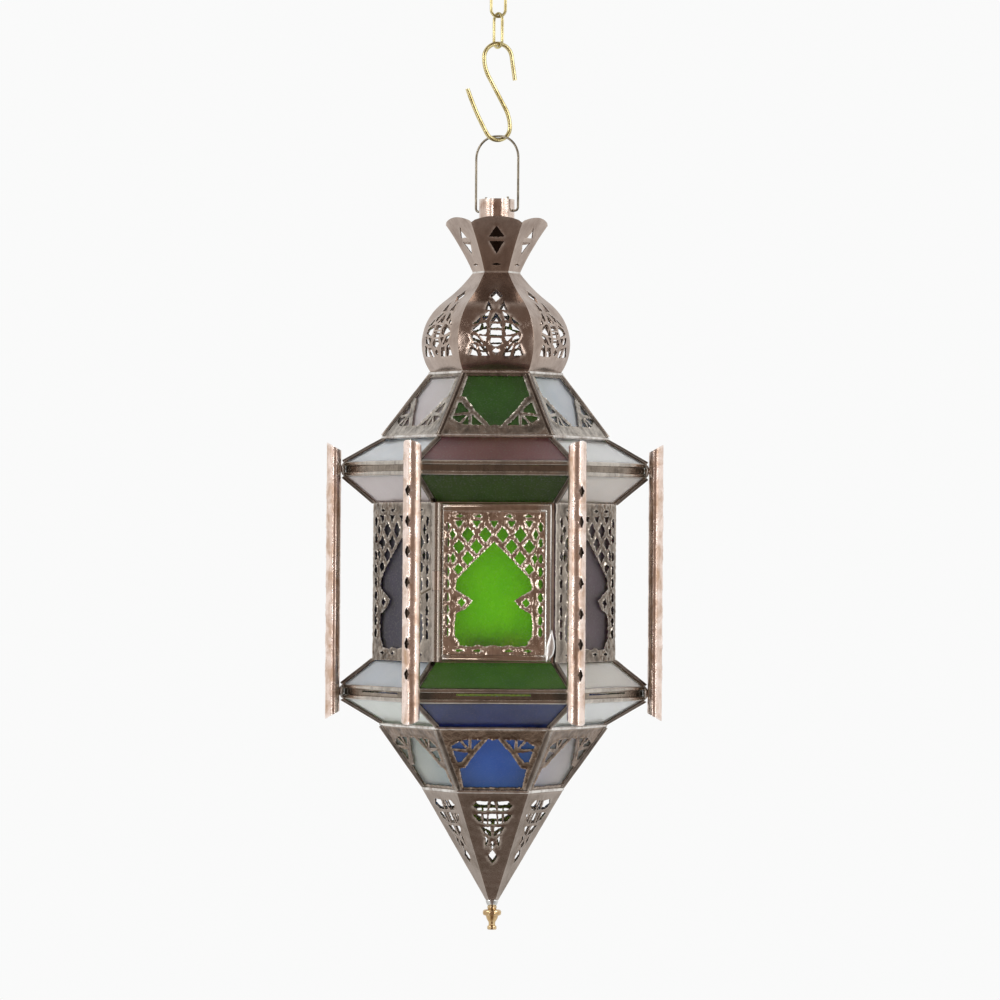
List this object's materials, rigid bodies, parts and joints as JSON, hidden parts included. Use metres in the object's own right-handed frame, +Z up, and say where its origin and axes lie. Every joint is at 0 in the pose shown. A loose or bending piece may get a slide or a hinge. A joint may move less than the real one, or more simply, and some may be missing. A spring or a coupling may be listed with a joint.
{
  "type": "hexagonal hanging lantern",
  "caption": "Six-sided hanging lantern of pierced copper sheet and coloured glass, with corner columns, a hinged door, a wire handle and an S-hook on chain links; holds a tea light.",
  "frame": {"origin": "inside top of the upper chain link, where a ceiling hook carries it", "axes": "+Z up along the lantern's axis; -Y is the facet with the door; +X to the right of it"},
  "size_m": [0.2362, 0.2074, 0.664],
  "materials": {
    "hanging_brass": "bright drawn brass wire",
    "bail_wire": "dull drawn wire",
    "bright_copper": "polished copper plate with brown tarnish",
    "antique_copper": "antique copper-brown patina, rubbed bright on the edges",
    "finial_brass": "turned, polished brass",
    "solder": "bright solder",
    "tin": "tinned sheet",
    "glass_green": "finely textured coloured glass",
    "glass_blue": "finely textured coloured glass",
    "glass_rose": "finely textured coloured glass",
    "glass_mauve": "finely textured coloured glass",
    "glass_clear": "finely textured coloured glass",
    "glass_amber": "finely textured coloured glass",
    "glass_indigo": "finely textured coloured glass",
    "glass_sage": "finely textured coloured glass"
  },
  "bodies": {
    "upper_link": {"chain_link_upper": "hanging_brass"},
    "lower_link": {"chain_link_lower": "hanging_brass"},
    "hook": {"s_hook": "hanging_brass"},
    "handle": {"bail": "bail_wire"},
    "lantern": {"base_ribs": "antique_copper", "base_step_rail": "antique_copper", "body_posts": "antique_copper", "body_rails": "antique_copper", "candle_bar": "tin", "candle_cup": "tin", "collar_tube": "bright_copper", "columns": "bright_copper", "crown_petals": "antique_copper", "dome_gores": "antique_copper", "dome_rail": "antique_copper", "finial": "finial_brass", "hinge_knuckle": "antique_copper", "hinge_pin": "bail_wire", "hinge_tie_wire": "bail_wire", "ledge_rail": "antique_copper", "lower_base_filigree": "antique_copper", "lower_base_panes_blue": "glass_blue", "lower_base_panes_rose": "glass_rose", "lower_base_panes_sage": "glass_sage", "lower_belt": "antique_copper", "lower_flare_panes_amber": "glass_amber", "lower_flare_panes_blue": "glass_blue", "lower_flare_panes_green": "glass_green", "lower_roof_panes_blue": "glass_blue", "lower_roof_panes_clear": "glass_clear", "lower_roof_panes_mauve": "glass_mauve", "neck_ring": "antique_copper", "pyramid_sheets": "antique_copper", "roof_ribs": "antique_copper", "roof_step_rail": "antique_copper", "side_panes_green": "glass_green", "side_panes_indigo": "glass_indigo", "side_panes_mauve": "glass_mauve", "side_plates": "antique_copper", "solder_beads": "solder", "tip_cap": "solder", "upper_base_panes_clear": "glass_clear", "upper_base_panes_indigo": "glass_indigo", "upper_base_panes_sage": "glass_sage", "upper_belt": "antique_copper", "upper_flare_panes_amber": "glass_amber", "upper_flare_panes_green": "glass_green", "upper_flare_panes_rose": "glass_rose", "upper_roof_filigree": "antique_copper", "upper_roof_panes_blue": "glass_blue", "upper_roof_panes_green": "glass_green", "upper_roof_panes_rose": "glass_rose"},
    "door": {"door_frame": "antique_copper", "door_plate": "antique_copper", "door_pane": "glass_green", "door_hinge_stile": "antique_copper", "door_tongue": "tin"}
  },
  "joints": [
    {"name": "link_swing", "type": "hinge", "parent": "upper_link", "child": "lower_link", "pos_m": [0, 0, -0.023], "axis": [1, 0, 0], "range_deg": [-30, 30]},
    {"name": "hook_swing", "type": "hinge", "parent": "lower_link", "child": "hook", "pos_m": [0, 0, -0.0447], "axis": [0.5736, -0.8192, 0], "range_deg": [-25, 25]},
    {"name": "handle_swing", "type": "hinge", "parent": "hook", "child": "handle", "pos_m": [0, 0, -0.1095], "axis": [0.9659, 0.2588, 0], "range_deg": [-25, 25]},
    {"name": "lantern_swing", "type": "hinge", "parent": "handle", "child": "lantern", "pos_m": [0, 0, -0.1594], "axis": [0.866, -0.5, 0], "range_deg": [-30, 30]},
    {"name": "door_swing", "type": "hinge", "parent": "lantern", "child": "door", "pos_m": [-0.0395, -0.07521, 0], "axis": [0, 0, -1], "range_deg": [0, 100]}
  ]
}
